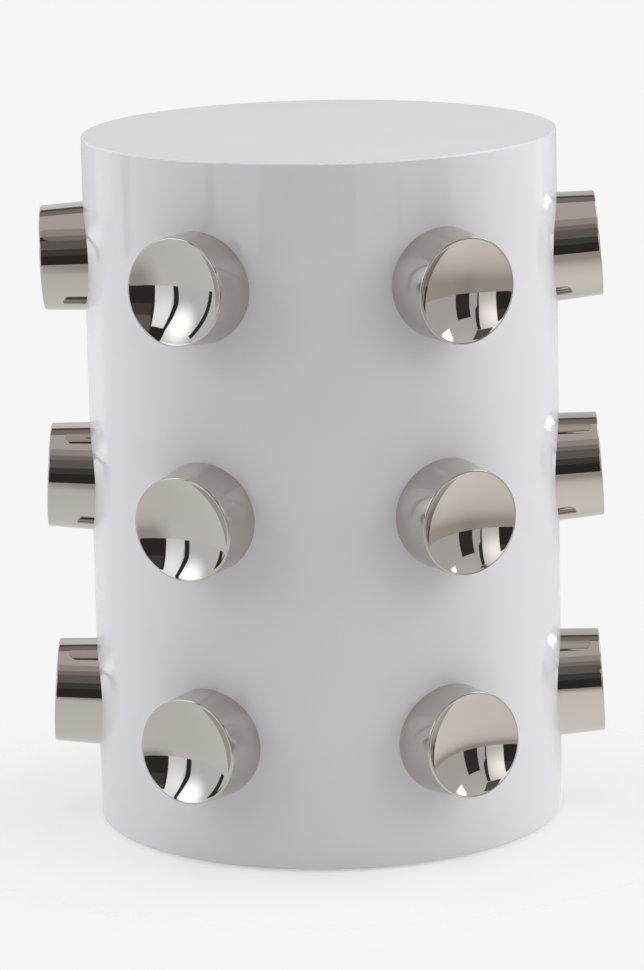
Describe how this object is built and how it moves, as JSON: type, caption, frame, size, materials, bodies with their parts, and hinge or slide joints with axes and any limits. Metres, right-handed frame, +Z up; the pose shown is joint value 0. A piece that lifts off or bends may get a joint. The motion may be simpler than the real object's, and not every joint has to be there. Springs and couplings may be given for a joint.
{
  "type": "round side table",
  "caption": "Closed drum side table: a straight round wall and flat top in white gloss lacquer, with wide dished metal knobs standing out all round in even rows.",
  "frame": {"origin": "on the floor, under the middle of the drum", "axes": "+Z up along the drum's axis; -Y is the front, midway between two columns of knobs; +X and -X each point along a column of knobs"},
  "size_m": [0.447, 0.4282, 0.56],
  "materials": {
    "white_lacquer": "gloss",
    "polished_nickel": "polished",
    "plywood": "matte",
    "fibreboard": "matte",
    "zinc_plated_steel": "satin",
    "nylon": "satin"
  },
  "bodies": {
    "root": {"drum_wall": "white_lacquer", "top_panel": "white_lacquer", "upper_ring": "plywood", "lower_ring": "plywood", "base_cleat": "plywood", "base_panel": "fibreboard", "knob_bolts": "zinc_plated_steel", "knob_washers": "zinc_plated_steel", "base_screws": "zinc_plated_steel", "glides": "nylon", "glide_screws": "zinc_plated_steel", "knob_upper_front_right": "polished_nickel", "knob_upper_right": "polished_nickel", "knob_upper_back_right": "polished_nickel", "knob_upper_back_left": "polished_nickel", "knob_upper_left": "polished_nickel", "knob_upper_front_left": "polished_nickel", "knob_middle_front_right": "polished_nickel", "knob_middle_right": "polished_nickel", "knob_middle_back_right": "polished_nickel", "knob_middle_back_left": "polished_nickel", "knob_middle_left": "polished_nickel", "knob_middle_front_left": "polished_nickel", "knob_lower_front_right": "polished_nickel", "knob_lower_right": "polished_nickel", "knob_lower_back_right": "polished_nickel", "knob_lower_back_left": "polished_nickel", "knob_lower_left": "polished_nickel", "knob_lower_front_left": "polished_nickel"}
  },
  "joints": []
}
